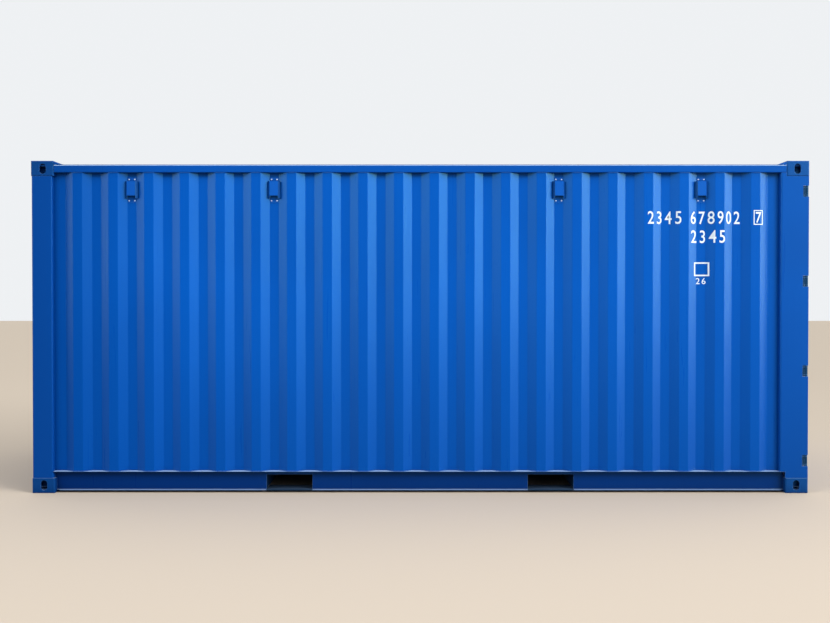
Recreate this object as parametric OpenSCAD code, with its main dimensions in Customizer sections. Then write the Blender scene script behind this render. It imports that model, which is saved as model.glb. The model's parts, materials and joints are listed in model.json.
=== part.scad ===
// Twenty-foot general-purpose shipping container, after a photograph of its left side.
// Origin: centre of the footprint, at ground level. +X towards the doors, +Z up.
// The left side is -Y. Sizes from a face inward: "end" from an end, "side" from a side.

/* [Overall] */
// Length over the corner castings
length = 6058; // [4600:1:9200]
// Width over the corner castings
width = 2438; // [2300:1:2600]
// Height over the corner castings
height = 2591; // [2300:1:2900]

/* [Corner castings] */
// Length of a casting along the container
casting_l = 178; // [170:0.5:190]
// Width of a casting across the container
casting_w = 162; // [156:0.5:170]
// Height of a casting
casting_h = 118; // [114:0.5:124]
// Thickness of the plate that takes a twistlock
casting_plate = 28; // [24:0.5:32]
// Thickness of the other walls of a casting
casting_wall = 14; // [10:0.5:18]
// Radius of the upright edges of a casting
casting_edge_r = 12; // [4:1:16]
// Radius of the level edges of a casting
casting_rim_r = 6; // [2:1:8]
// Distance of a twistlock hole's centre from the end face
twistlock_end = 102.5; // [96:0.5:108]
// Distance of a twistlock hole's centre from the side face
twistlock_side = 89.5; // [84:0.5:94]
// Length of a twistlock hole
twistlock_l = 124; // [120:0.5:128]
// Width of a twistlock hole
twistlock_w = 63.5; // [60:0.5:66]
// Height of the lashing holes in the upright faces
lashing_h = 79.5; // [70:0.5:82]
// Width of the lashing hole in the side face
side_lashing_w = 51; // [44:0.5:56]
// Width of the lashing hole in the end face
end_lashing_w = 63.5; // [56:0.5:66]
// Distance of the side lashing hole from the end face
side_lashing_x = 93; // [86:0.5:98]
// Distance of the lashing holes from the twistlock face
lashing_z = 62; // [58:0.5:66]

/* [Frame] */
// Distance of posts and rails inside the faces of the castings
frame_inset = 3; // [2:0.5:5]
// Plate thickness of the corner posts
post_t = 6; // [4:0.5:8]
// Outer radius of the bends in the corner posts
post_bend_r = 14; // [10:0.5:20]
// Depth of the posts' return flanges that carry the walls
post_return = 47; // [40:0.5:50]
// How far the front posts reach from the front end
front_post_l = 165; // [120:1:175]
// How far the rear posts reach from the door end
rear_post_l = 222; // [200:1:260]
// Depth of the rear posts' inner channel along the container
channel_l = 113; // [100:1:130]
// Width of the rear posts' inner channel
channel_w = 40; // [36:0.5:50]
// Thickness of the rear posts' inner channel
channel_t = 12; // [8:0.5:14]
// Underside of the bottom rails and sills above the ground
rail_z = 18; // [12:0.5:20]
// Height of the bottom rails and sills
rail_h = 152; // [148:0.5:162]
// Plate thickness of the bottom rails and sills
rail_t = 4.5; // [3:0.5:6]
// Width of the bottom side rails' top flange
rail_top_w = 48; // [46:0.5:54]
// Width of the bottom side rails' lower flange
rail_foot_w = 30; // [20:0.5:40]
// Length of the slanting cut at each end of the lower flange
foot_cut_l = 36; // [10:1:60]
// Outer radius of the bends in the rails
rail_bend_r = 9; // [7:0.5:12]
// Width and height of the square tube of the top rails
tube_w = 60; // [50:1:64]
// Wall thickness of the square tube
tube_t = 3; // [2:0.5:5]
// Outer corner radius of the square tube
tube_r = 7; // [6:0.5:10]
// Top of the top rails below the castings' top
tube_drop = 31; // [28:0.5:40]
// Length of the sloping plates beside the top castings
corner_plate_l = 75; // [50:1:150]
// Height of the sloping plates at the castings
corner_plate_h = 21; // [10:0.5:24]
// Depth of the front sill's flanges
front_sill_l = 60; // [50:1:80]
// Thickness of the flat plates between the top castings
header_plate_t = 3; // [2:0.5:4]

/* [Corrugated walls] */
// Outer radius of the bends in the corrugated sheets
sheet_bend_r = 12; // [8:1:16]
// Facets in each bend of a corrugated sheet
sheet_bend_steps = 3; // [2:1:6]
// Sheet thickness of the side walls
side_sheet_t = 1.6; // [1.2:0.1:2.4]
// Pitch of the side corrugations
side_pitch = 278; // [250:1:300]
// Width of a side corrugation's crest
side_crest = 72; // [60:1:80]
// Width of a side corrugation's slope
side_slope = 68; // [56:1:76]
// Depth of the side corrugations
side_depth = 36; // [28:0.5:36.5]
// Distance of the side walls' crests inside the rails' faces
side_wall_inset = 4; // [3:0.5:5]
// Sheet thickness of the front wall
front_sheet_t = 2; // [1.6:0.1:3]
// Pitch of the front wall's corrugations
front_pitch = 250; // [230:1:280]
// Width of a front corrugation's crest
front_crest = 110; // [90:1:116]
// Width of a front corrugation's slope
front_slope = 18; // [12:1:24]
// Depth of the front wall's corrugations
front_depth = 45.6; // [36:0.1:48]

/* [Roof] */
// Sheet thickness of the roof
roof_sheet_t = 2; // [1.6:0.1:2.5]
// Pitch of the stamped roof ribs
roof_pitch = 209; // [190:1:240]
// Width of a rib's flat top
roof_crest = 91; // [80:1:100]
// Width of a rib's side slope
roof_slope = 13.5; // [10:0.5:20]
// Height of a rib
roof_rib_h = 18; // [12:0.5:19]
// Rise of the roof in the middle of its width
roof_camber = 4; // [0:0.5:5]
// Length of the ramp at each end of a rib
roof_ramp = 60; // [40:1:100]
// Distance from the side face to the start of the ribs
roof_margin = 75; // [66:1:140]

/* [Floor] */
// Thickness of the plywood floor
floor_t = 28; // [21:0.5:30]
// Number of plywood sheets
floor_sheets = 5; // [4:1:8]
// Joint between plywood sheets
floor_joint = 0.8; // [0.4:0.1:0.9]
// Plate thickness of the cross members
member_t = 4; // [3:0.5:5]
// Width of the cross members' top flange
member_top_w = 45; // [40:1:60]
// Width of the cross members' lower flange
member_foot_w = 40; // [30:1:50]
// Cross members in each stretch beside and between the fork pockets
members_per_bay = 5; // [3:1:7]

/* [Fork pockets] */
// Distance between the centres of the fork pockets
pocket_dx = 2050; // [1800:1:2200]
// Width of a fork pocket
pocket_w = 360; // [340:1:380]
// Thickness of the plate over a fork pocket
pocket_roof_t = 3; // [2:0.5:4]
// Depth of the strap under each mouth of a fork pocket
strap_w = 200; // [150:1:260]
// Thickness of the strap
strap_t = 6; // [5:0.5:8]

/* [Ventilators] */
// Recesses between each end of a side wall and its outer ventilator
vent_outer_steps = 1; // [0:1:2]
// Recesses between each end of a side wall and its inner ventilator
vent_inner_steps = 5; // [4:1:7]
// Height of a ventilator's backplate
vent_plate_h = 198; // [170:1:220]
// Width of a ventilator's backplate
vent_plate_w = 62; // [50:1:66]
// Thickness of a ventilator's backplate
vent_plate_t = 3; // [2:0.5:4]
// Height of a ventilator's hood
vent_hood_h = 133; // [110:1:140]
// Projection of a ventilator's hood from the sheet
vent_hood_d = 32; // [24:0.5:33]
// Width of a hood's front face
vent_face_w = 66; // [50:1:70]
// Width of a hood at its shoulders
vent_shoulder_w = 100; // [80:1:104]
// Distance of the shoulders from the sheet
vent_shoulder_d = 13; // [11:0.5:16]
// Wall thickness of a hood
vent_wall = 3; // [2:0.5:4]
// Height of the open mouth at the foot of a hood
vent_mouth_h = 21; // [14:1:30]
// Top of the backplates below the top rail
vent_drop = 34; // [24:1:60]

/* [Lashing rings] */
// Corrugations between each end of a side wall and its first lashing rings
ring_first_steps = 1; // [0:1:2]
// Corrugations from one lashing ring to the next
ring_steps = 3; // [2:1:4]
// Lashing rings in each half of a rail
ring_count = 3; // [1:1:3]
// Width of a lashing ring between its feet
ring_w = 70; // [50:1:80]
// Height of a lashing ring
ring_h = 38; // [30:1:60]
// Thickness of a lashing ring's rod
ring_rod = 10; // [8:0.5:12]
// Bend radius of a lashing ring along its middle line
ring_bend_r = 14; // [12:0.5:20]
// Distance of the lashing rings from the side face
ring_side = 31; // [28:0.5:36]

/* [Doors] */
// Distance from the end face to the outer face of the doors
door_inset = 48; // [47:0.5:56]
// Thickness of a door leaf
leaf_t = 50; // [48:0.5:56]
// Gap between a leaf and the frame around it
leaf_gap = 9; // [8:0.5:12]
// Gap between the two leaves
meeting_gap = 12; // [11:0.5:16]
// Width of a leaf's upright tubes
stile_w = 100; // [80:1:110]
// Wall thickness of a leaf's upright tubes
stile_t = 3.2; // [2.5:0.1:4]
// Height of a leaf's cross channels
cross_h = 150; // [120:1:170]
// Plate thickness of a leaf's cross channels
cross_t = 3; // [2:0.5:4]
// Height of the header over the doors
header_h = 112; // [100:1:160]
// Corrugations of a leaf's panel
leaf_waves = 3; // [2:1:3]
// Sheet thickness of a leaf's panel
leaf_sheet_t = 2; // [1.6:0.1:2.5]
// Distance of the panel's crests inside the leaf's outer face
leaf_panel_inset = 3; // [2:0.5:5]
// How far the gasket's lips stand out of a leaf's edge
gasket_lip = 3.5; // [2:0.1:3.7]
// How far the gasket's lips stand out at the meeting edges
gasket_meeting_lip = 2; // [1:0.1:2.5]
// Thickness of one gasket lip
gasket_lip_t = 7; // [5:0.5:9]
// Width of the gasket across the leaf's edge
gasket_w = 30; // [24:1:34]

/* [Hinges] */
// Distance of the hinge pins from the end face and the side face
pin_inset = 16; // [15.5:0.1:16.5]
// Radius of a hinge pin
pin_r = 7; // [6:0.1:8]
// Clearance round a hinge pin
pin_clearance = 0.3; // [0.2:0.05:0.5]
// Radius of the hinge knuckle and of the lugs' round ends
knuckle_r = 13; // [12:0.1:13]
// Height of the lowest hinge above the foot of the door opening
hinge_low = 85; // [70:1:150]
// Distance of the highest hinge below the top of the door opening
hinge_high = 93; // [70:1:150]
// Number of hinges on a leaf
hinge_count = 4; // [3:1:4]
// Height of a hinge blade
blade_h = 60; // [50:1:62]
// Thickness of a hinge blade
blade_t = 10; // [8:0.5:10]
// Width of the blade's arm beside the pin
blade_arm = 10; // [8:0.5:11]
// Gap between a hinge blade and the post it passes
blade_gap = 5.5; // [5:0.1:6]
// Length of the blade's pad on the leaf
pad_l = 70; // [50:1:85]
// Thickness of a hinge lug
lug_t = 12; // [10:0.5:12.5]
// How far a hinge pin stands out of its lugs
pin_out = 4; // [2:0.5:5]
// How far a lug's arm reaches outward from the pin's axis
lug_arm = 5; // [4:0.5:7]
// Play between a blade and its lugs
blade_play = 0.5; // [0.3:0.1:0.9]
// Height of the notch in the post at a hinge
notch_h = 86; // [86:1:96]

/* [Locking gear] */
// Radius of a lock rod
rod_r = 17; // [14:0.5:17]
// Distance of the rods' axes from the end face
rod_inset = 24; // [23.5:0.1:24.5]
// How far the rods reach past the clear opening at top and bottom
rod_reach = 78; // [60:1:84]
// Wall thickness of a lock rod
rod_wall = 3.5; // [2.5:0.1:5]
// Radius of the collar at a rod's cam
collar_r = 19; // [18:0.5:19]
// Height of a cam's collar
collar_h = 46; // [36:1:50]
// Reach of a cam's fingers to each side
cam_reach = 30; // [26:0.5:32]
// Height of a cam's fingers
cam_h = 18; // [14:1:22]
// Thickness of a cam's fingers
cam_t = 15; // [12:0.5:20]
// Distance of a cam's fingers from the rod's end
cam_inset = 10; // [4:1:16]
// Clearance between a cam's fingers and its keeper
keeper_gap = 8; // [8:0.5:11]
// Thickness of a keeper's ears
keeper_t = 9; // [7:0.5:12]
// How far a keeper stands out
keeper_out = 36; // [30:0.5:40]
// Clearance between a rod and its brackets
bracket_clearance = 0.4; // [0.2:0.1:0.8]
// Thickness of the strap over a rod
bracket_strap = 3.1; // [2.5:0.1:3.4]
// Height of a rod bracket
bracket_h = 44; // [34:1:60]
// Width of a rod bracket's foot
bracket_w = 70; // [60:1:72]
// Thickness of a rod bracket's foot
bracket_foot_t = 4; // [3:0.5:5]
// Distance of the inner brackets from the middle of the leaf's height
bracket_spread = 500; // [350:10:700]
// Height of the lower handles above the ground
handle_z = 1130; // [1000:1:1200]
// Distance between the lower and upper handles
handle_step = 170; // [140:1:200]
// Length of a handle
handle_l = 440; // [400:1:460]
// Height of a handle's bar
handle_h = 28; // [22:1:34]
// Thickness of a handle's bar
handle_t = 13; // [10:0.5:14]
// Width of a handle's catch
catch_w = 40; // [30:1:60]
// Thickness of the ears of a handle's catch
catch_ear = 12; // [8:0.5:20]
// Clearance between a handle and its catch's ears
catch_gap = 1.5; // [1:0.1:3]
// Height of a handle's hub
hub_h = 60; // [50:1:70]

/* [Hidden] */
$fn = 48;

paint = "#0d5aa8";
steel = "#8f9498";
rubber = "#1b1b1c";
timber = "#9a6b3c";

// Heights that several pieces share
rail_top = rail_z + rail_h;
tube_top = height - tube_drop;
tube_z = tube_top - tube_w;
top_casting_z = height - casting_h;
floor_z = rail_top - floor_t;
opening_top = tube_top - header_h;
opening_h = opening_top - rail_top;
// Depths from the side face
rail_in = frame_inset + rail_top_w;
post_in = frame_inset + post_return;
wall_out = frame_inset + side_wall_inset;
channel_out = frame_inset + post_t;
channel_in = channel_out + channel_w;
// Door leaf on the left side, from the side face inward
leaf_out = channel_in + leaf_gap;
leaf_in = width / 2 - meeting_gap / 2;
leaf_w = leaf_in - leaf_out;
leaf_z = rail_top + leaf_gap;
leaf_h = opening_h - 2 * leaf_gap;
rod_offset = side_pitch * (leaf_waves - 1) / 2;
rod_sides = [for (k = [-1, 1]) (leaf_out + leaf_in) / 2 + k * rod_offset];
// Cams sit at the rods' ends
rod_z = rail_top - rod_reach;
rod_top = opening_top + rod_reach;
slack = 1;

function x_rear(d) = length / 2 - d;
function x_front(d) = d - length / 2;
function y_left(d) = d - width / 2;
function unit(v) = v / norm(v);
function left_of(v) = [-v[1], v[0]];
// Signed turn from one direction to the next, in degrees
function turn(u, v) = atan2(u[0] * v[1] - u[1] * v[0], u * v);

// Outer line of a corrugated sheet with n crests and flat recesses at both ends.
// Depth runs from 0 at the crests to depth at the recesses.
function wave_line(n, total, pitch, crest, slope, depth) = concat(
    [[-total / 2, depth]],
    [for (i = [0:n - 1], c = [(i - (n - 1) / 2) * pitch], p = [
        [c - crest / 2 - slope, depth], [c - crest / 2, 0],
        [c + crest / 2, 0], [c + crest / 2 + slope, depth]
    ]) p],
    [[total / 2, depth]]
);
function turned(v, a) = [v[0] * cos(a) - v[1] * sin(a), v[0] * sin(a) + v[1] * cos(a)];
// Points of the round bend at p, on the way from a to b
function bend_points(a, p, b, r) = let (
    u = unit(p - a), angle = turn(u, unit(b - p)), side = sign(angle),
    start = p - u * r * tan(abs(angle) / 2), centre = start + left_of(u) * r * side)
    [for (i = [0:sheet_bend_steps])
        centre + turned(start - centre, angle * i / sheet_bend_steps)];
function rounded(line, r) = concat([line[0]],
    [for (i = [1:len(line) - 2]) each bend_points(line[i - 1], line[i], line[i + 1], r)],
    [line[len(line) - 1]]);
// Step from each point of a line to the same point of the line at distance t on its left
function offset_steps(line, t) = [for (i = [0:len(line) - 1]) let (
    u = unit(line[max(i, 1)] - line[max(i, 1) - 1]),
    v = unit(line[min(i, len(line) - 2) + 1] - line[min(i, len(line) - 2)]))
    left_of(u + v) * t / (1 + u * v)];
// Outline of a sheet whose outer face follows a line, with round bends
function sheet_outline(line, t) = let (
    face = rounded(line, sheet_bend_r), steps = offset_steps(face, t))
    concat(face, [for (i = [len(face) - 1:-1:0]) face[i] + steps[i]]);
// Crests that fit between the two end recesses
function wave_count(total, pitch, crest, slope) =
    floor((total - (pitch - crest - 2 * slope)) / pitch);

// Places the left side's geometry on the right side
module on_right() {
    mirror([0, 1, 0]) children();
}

// A profile in Y and Z, drawn out along X
module along_x(x0, x1) {
    translate([x0, 0, 0]) rotate([90, 0, 90]) linear_extrude(x1 - x0) children();
}

// A profile in X and Z, drawn out along Y
module along_y(y0, y1) {
    translate([0, y1, 0]) rotate([90, 0, 0]) linear_extrude(y1 - y0) children();
}

// A box between two corners
module block(a, b) {
    translate(a) cube(b - a);
}

// One bend of a pressed plate, at corner p between directions u and v
module bend(p, u, v, t, r) {
    path_r = turn(u, v) > 0 ? r : r - t;
    centre_side = turn(u, v) > 0 ? 1 : -1;
    k = path_r * tan(abs(turn(u, v)) / 2);
    c = p - u * k + left_of(u) * path_r * centre_side;
    reach = 2 * r / path_r;
    intersection() {
        translate(c) difference() {
            circle(r);
            circle(r - t);
        }
        polygon([c, c + (p - u * k - c) * reach, c + (p - c) * reach, c + (p + v * k - c) * reach]);
    }
}

// Section of a plate pressed along a path, on the path's left, with round bends
module pressed(path, t, r) {
    n = len(path) - 1;
    dirs = [for (i = [0:n - 1]) unit(path[i + 1] - path[i])];
    trims = [for (i = [0:n]) i == 0 || i == n ? 0 :
        (turn(dirs[i - 1], dirs[i]) > 0 ? r : r - t) * tan(abs(turn(dirs[i - 1], dirs[i])) / 2)];
    for (i = [0:n - 1]) {
        a = path[i] + dirs[i] * trims[i];
        b = path[i + 1] - dirs[i] * trims[i + 1];
        translate(a) rotate(atan2(dirs[i][1], dirs[i][0])) square([norm(b - a), t]);
    }
    for (i = [1:n - 1]) bend(path[i], dirs[i - 1], dirs[i], t, r);
}

// A rectangle with round corners, from the origin
module round_rect(w, h, r) {
    translate([r, 0]) square([w - 2 * r, h]);
    translate([0, r]) square([w, h - 2 * r]);
    for (x = [r, w - r], y = [r, h - r]) translate([x, y]) circle(r);
}

module tube_section(w, h, t, r) {
    difference() {
        round_rect(w, h, r);
        translate([t, t]) round_rect(w - 2 * t, h - 2 * t, r - t);
    }
}

// A slot with round ends, centred, long along X
module slot(l, w) {
    square([l - w, w], center = true);
    for (k = [-1, 1]) translate([k * (l - w) / 2, 0]) circle(d = w);
}

// Block with round edges all over
module casting_body() {
    intersection() {
        linear_extrude(casting_h) round_rect(casting_l, casting_w, casting_edge_r);
        along_x(0, casting_l) round_rect(casting_w, casting_h, casting_rim_r);
        along_y(0, casting_w) round_rect(casting_l, casting_h, casting_rim_r);
    }
}

// One corner casting at its own outer corner, twistlock face down
module casting() {
    difference() {
        casting_body();
        block([casting_wall, casting_wall, casting_plate],
              [casting_l - casting_wall, casting_w - casting_wall, casting_h - casting_wall]);
        translate([twistlock_end, twistlock_side, -slack]) linear_extrude(casting_plate + 2 * slack)
            slot(twistlock_l, twistlock_w);
        translate([side_lashing_x, casting_wall + slack, lashing_z]) rotate([90, 0, 0])
            linear_extrude(casting_wall + 2 * slack) rotate(90) slot(lashing_h, side_lashing_w);
        translate([-slack, twistlock_side, lashing_z]) rotate([90, 0, 90])
            linear_extrude(casting_wall + 2 * slack) rotate(90) slot(lashing_h, end_lashing_w);
    }
}

// Both castings at the front, at the bottom
module castings_at_front() {
    for (m = [0, 1]) mirror([0, m, 0]) translate([-length / 2, -width / 2, 0]) casting();
}

module to_rear() {
    mirror([1, 0, 0]) children();
}

module to_top() {
    translate([0, 0, height]) mirror([0, 0, 1]) children();
}

module front_bottom_castings() {
    color(paint) castings_at_front();
}

module rear_bottom_castings() {
    color(paint) to_rear() castings_at_front();
}

module front_top_castings() {
    color(paint) to_top() castings_at_front();
}

module rear_top_castings() {
    color(paint) to_top() to_rear() castings_at_front();
}

module front_post() {
    color(paint) translate([0, 0, casting_h]) linear_extrude(top_casting_z - casting_h) pressed([
        [x_front(frame_inset + post_return), y_left(casting_w)],
        [x_front(frame_inset), y_left(casting_w)],
        [x_front(frame_inset), y_left(frame_inset)],
        [x_front(front_post_l), y_left(frame_inset)],
        [x_front(front_post_l), y_left(post_in)]
    ], post_t, post_bend_r);
}

// Outer plate of a rear post, as wide as its upper part
module rear_post_plate() {
    pressed([
        [x_rear(rear_post_l), y_left(post_in)],
        [x_rear(rear_post_l), y_left(frame_inset)],
        [x_rear(frame_inset), y_left(frame_inset)]
    ], post_t, post_bend_r);
}

module rear_post_channel() {
    pressed([
        [x_rear(door_inset), y_left(channel_out)],
        [x_rear(door_inset), y_left(channel_in)],
        [x_rear(door_inset + channel_l), y_left(channel_in)],
        [x_rear(door_inset + channel_l), y_left(channel_out)]
    ], channel_t, channel_t + 2);
}

function hinge_heights() = let (low = rail_top + hinge_low, high = opening_top - hinge_high)
    [for (i = [0:hinge_count - 1]) low + (high - low) * i / (hinge_count - 1)];

module rear_post() {
    color(paint) difference() {
        union() {
            translate([0, 0, casting_h]) linear_extrude(tube_z - casting_h) rear_post_plate();
            translate([0, 0, casting_h]) linear_extrude(top_casting_z - casting_h)
                rear_post_channel();
        }
        // The widened part stands on the side rail and ends under the top rail
        block([x_rear(rear_post_l + slack), y_left(0), casting_h - slack],
              [x_rear(casting_l), y_left(post_in + slack), rail_top]);
        block([x_rear(casting_l), y_left(0), top_casting_z],
              [x_rear(0), y_left(post_in), tube_z + slack]);
        // Notches that let the hinge blades swing round the post
        for (z = hinge_heights())
            block([x_rear(door_inset), y_left(0), z - notch_h / 2],
                  [x_rear(0), y_left(channel_out), z + notch_h / 2]);
    }
}

function pocket_centres() = [-pocket_dx / 2, pocket_dx / 2];

// Slanting cut at the front end of a bottom rail's lower flange
module foot_cut() {
    translate([0, 0, rail_z - slack]) linear_extrude(rail_t + 2 * slack) polygon([
        [x_front(casting_l), y_left(rail_in - rail_bend_r)],
        [x_front(casting_l), y_left(0)],
        [x_front(casting_l + foot_cut_l), y_left(0)],
        [x_front(casting_l + foot_cut_l), y_left(rail_in - rail_foot_w)]
    ]);
}

module bottom_rail() {
    color(paint) difference() {
        along_x(x_front(front_post_l), x_rear(casting_l)) pressed([
            [y_left(rail_in - rail_foot_w), rail_z],
            [y_left(rail_in), rail_z],
            [y_left(rail_in), rail_top],
            [y_left(frame_inset), rail_top]
        ], rail_t, rail_bend_r);
        for (x = pocket_centres())
            block([x - pocket_w / 2, y_left(0), rail_z - slack],
                  [x + pocket_w / 2, y_left(rail_in + slack), floor_z - pocket_roof_t]);
        block([x_front(0), y_left(0), 0], [x_front(casting_l), y_left(casting_w), casting_h]);
        foot_cut();
        to_rear() foot_cut();
    }
}

// Sloping plate from the roof up to a top casting, at the front end
module corner_plate() {
    z = tube_top + roof_sheet_t;
    along_y(y_left(frame_inset), y_left(roof_margin)) polygon([
        [x_front(casting_l), z],
        [x_front(casting_l + corner_plate_l), z],
        [x_front(casting_l), z + corner_plate_h]
    ]);
}

module top_rail() {
    color(paint) {
        along_x(x_front(casting_l), x_rear(casting_l))
            translate([y_left(frame_inset), tube_z])
                tube_section(tube_w, tube_w, tube_t, tube_r);
        corner_plate();
        to_rear() corner_plate();
    }
}

module front_sill() {
    x_in = x_front(frame_inset + front_sill_l);
    color(paint) along_y(y_left(casting_w), -y_left(casting_w)) pressed([
        [x_in, rail_top],
        [x_front(frame_inset), rail_top],
        [x_front(frame_inset), rail_z],
        [x_in, rail_z]
    ], rail_t, rail_bend_r);
}

module front_header() {
    color(paint) {
        along_y(y_left(casting_w), -y_left(casting_w))
            translate([x_front(frame_inset), tube_z]) tube_section(tube_w, tube_w, tube_t, tube_r);
        block([x_front(frame_inset), y_left(casting_w), tube_top],
              [x_front(casting_l), -y_left(casting_w), tube_top + header_plate_t]);
    }
}

// Room that the rear castings take, at the bottom
module rear_casting_room() {
    for (m = [0, 1]) mirror([0, m, 0])
        block([x_rear(casting_l), y_left(0), 0], [x_rear(0), y_left(casting_w), casting_h]);
}

module door_sill() {
    far = door_inset + channel_l + rail_bend_r;
    color(paint) difference() {
        along_y(y_left(channel_in), -y_left(channel_in)) pressed([
            [x_rear(door_inset + rail_top_w), rail_z],
            [x_rear(door_inset), rail_z],
            [x_rear(door_inset), rail_top],
            [x_rear(far), rail_top],
            [x_rear(far), floor_z - floor_t]
        ], rail_t, rail_bend_r);
        rear_casting_room();
    }
}

module door_header() {
    inner = door_inset + leaf_t + post_bend_r;
    color(paint) difference() {
        union() {
            along_y(y_left(channel_in), -y_left(channel_in)) pressed([
                [x_rear(inner), tube_top + header_plate_t / 2],
                [x_rear(inner), opening_top],
                [x_rear(door_inset), opening_top],
                [x_rear(door_inset), tube_top + header_plate_t / 2]
            ], rail_t, rail_bend_r);
            block([x_rear(casting_l), y_left(casting_w), tube_top],
                  [x_rear(door_inset), -y_left(casting_w), tube_top + header_plate_t]);
        }
        to_top() rear_casting_room();
    }
}

// Middle, length and number of crests of a side wall
function side_middle() = (x_front(front_post_l) + x_rear(rear_post_l)) / 2;
function side_span() = x_rear(rear_post_l) - x_front(front_post_l);
function side_waves() = wave_count(side_span(), side_pitch, side_crest, side_slope);

module side_sheet() {
    translate([side_middle(), y_left(wall_out), rail_top])
        linear_extrude(tube_z - rail_top) polygon(sheet_outline(
            wave_line(side_waves(), side_span(), side_pitch, side_crest, side_slope, side_depth),
            side_sheet_t));
}

// The wall ends on the top casting's underside beside the front post
module side_wall() {
    color(paint) difference() {
        side_sheet();
        block([x_front(0), y_left(0), top_casting_z],
              [x_front(casting_l), y_left(casting_w), height]);
    }
}

module front_wall() {
    span = width - 2 * casting_w;
    n = wave_count(span, front_pitch, front_crest, front_slope);
    color(paint) translate([x_front(frame_inset + side_wall_inset), 0, rail_top]) rotate(-90)
        linear_extrude(tube_z - rail_top) polygon(sheet_outline(
            wave_line(n, span, front_pitch, front_crest, front_slope, front_depth), front_sheet_t));
}

// Lines across the roof where its height changes, and the rib's share of full height there
function roof_rows() = [
    [-width / 2 + frame_inset + slack, 0],
    [-width / 2 + roof_margin, 0],
    [-width / 2 + roof_margin + roof_ramp, 1],
    [0, 1],
    [width / 2 - roof_margin - roof_ramp, 1],
    [width / 2 - roof_margin, 0],
    [width / 2 - frame_inset - slack, 0]
];
// Lines along the roof, and whether each is on a rib
function roof_columns(n, total) = concat(
    [[-total / 2, 0]],
    [for (i = [0:n - 1], c = [(i - (n - 1) / 2) * roof_pitch], p = [
        [c - roof_crest / 2 - roof_slope, 0], [c - roof_crest / 2, 1],
        [c + roof_crest / 2, 1], [c + roof_crest / 2 + roof_slope, 0]
    ]) p],
    [[total / 2, 0]]
);
function roof_rise(row) =
    let (edge = width / 2 - roof_margin, y = min(abs(row[0]), edge))
    roof_camber * (1 - pow(y / edge, 2));

// Stamped roof sheet, as one lofted shell
module roof() {
    total = length - 2 * casting_l;
    n = floor((total - roof_pitch / 2) / roof_pitch);
    rows = roof_rows();
    columns = roof_columns(n, total);
    nr = len(rows);
    nc = len(columns);
    layer = nr * nc;
    points = [for (t = [0, roof_sheet_t], c = columns, r = rows)
        [c[0], r[0], tube_top + t + roof_rise(r) + roof_rib_h * c[1] * r[1]]];
    low = [for (c = [0:nc - 2], r = [0:nr - 2])
        let (i = c * nr + r) each [[i, i + 1, i + nr + 1], [i, i + nr + 1, i + nr]]];
    high = [for (f = low) [f[2] + layer, f[1] + layer, f[0] + layer]];
    ends = [for (r = [0:nr - 2], c = [0, nc - 1])
        let (i = c * nr + r, q = c == 0 ? [i, i + layer, i + layer + 1, i + 1]
                                        : [i, i + 1, i + layer + 1, i + layer])
        each [[q[0], q[1], q[2]], [q[0], q[2], q[3]]]];
    edges = [for (c = [0:nc - 2], r = [0, nr - 1])
        let (i = c * nr + r, q = r == 0 ? [i, i + nr, i + nr + layer, i + layer]
                                        : [i, i + layer, i + nr + layer, i + nr])
        each [[q[0], q[1], q[2]], [q[0], q[2], q[3]]]];
    color(paint) polyhedron(points, concat(low, high, ends, edges), convexity = 10);
}

module floor_boards() {
    x0 = x_front(frame_inset + front_sill_l);
    x1 = x_rear(door_inset + channel_l + rail_bend_r);
    pitch = (x1 - x0 + floor_joint) / floor_sheets;
    color(timber) for (i = [0:floor_sheets - 1])
        block([x0 + i * pitch, y_left(rail_in), floor_z],
              [x0 + (i + 1) * pitch - floor_joint, -y_left(rail_in), rail_top]);
}

// Cross member with its web at x, flanges towards dir
module cross_member(x, dir) {
    top = [[x + dir * member_top_w, floor_z], [x, floor_z]];
    foot = [[x, rail_z + strap_t], [x + dir * member_foot_w, rail_z + strap_t]];
    path = dir > 0 ? concat(top, foot) : concat([foot[1], foot[0]], [top[1], top[0]]);
    along_y(y_left(rail_in), -y_left(rail_in)) pressed(path, member_t, member_t * 2);
}

// Webs of the plain cross members between two limits
function member_places(x0, x1) =
    [for (i = [1:members_per_bay]) x0 + (x1 - x0) * i / (members_per_bay + 1)];

module cross_members() {
    inner = (pocket_dx - pocket_w) / 2;
    outer = (pocket_dx + pocket_w) / 2;
    color(paint) {
        for (x = member_places(x_front(casting_l), -outer - member_top_w)) cross_member(x, 1);
        for (x = member_places(-inner, inner)) cross_member(x - member_top_w / 2, 1);
        for (x = member_places(outer + member_top_w, x_rear(casting_l))) cross_member(x, -1);
        for (k = [-1, 1]) {
            cross_member(k * outer, k);
            cross_member(k * inner, -k);
        }
    }
}

module fork_pocket_plates() {
    color(paint) for (x = pocket_centres()) {
        block([x - pocket_w / 2, y_left(rail_in), floor_z - pocket_roof_t],
              [x + pocket_w / 2, -y_left(rail_in), floor_z]);
        for (m = [0, 1]) mirror([0, m, 0])
            block([x - pocket_w / 2, y_left(rail_in - rail_foot_w), rail_z],
                  [x + pocket_w / 2, y_left(rail_in - rail_foot_w + strap_w), rail_z + strap_t]);
    }
}

// Plan outline of a ventilator's hood, set in by a wall; distance from the sheet along Y
module hood_outline(set_in) {
    polygon([
        [-vent_plate_w / 2 + set_in, vent_plate_t],
        [-vent_shoulder_w / 2 + set_in, vent_shoulder_d],
        [-vent_face_w / 2 + set_in, vent_hood_d - set_in],
        [vent_face_w / 2 - set_in, vent_hood_d - set_in],
        [vent_shoulder_w / 2 - set_in, vent_shoulder_d],
        [vent_plate_w / 2 - set_in, vent_plate_t]
    ]);
}

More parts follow.
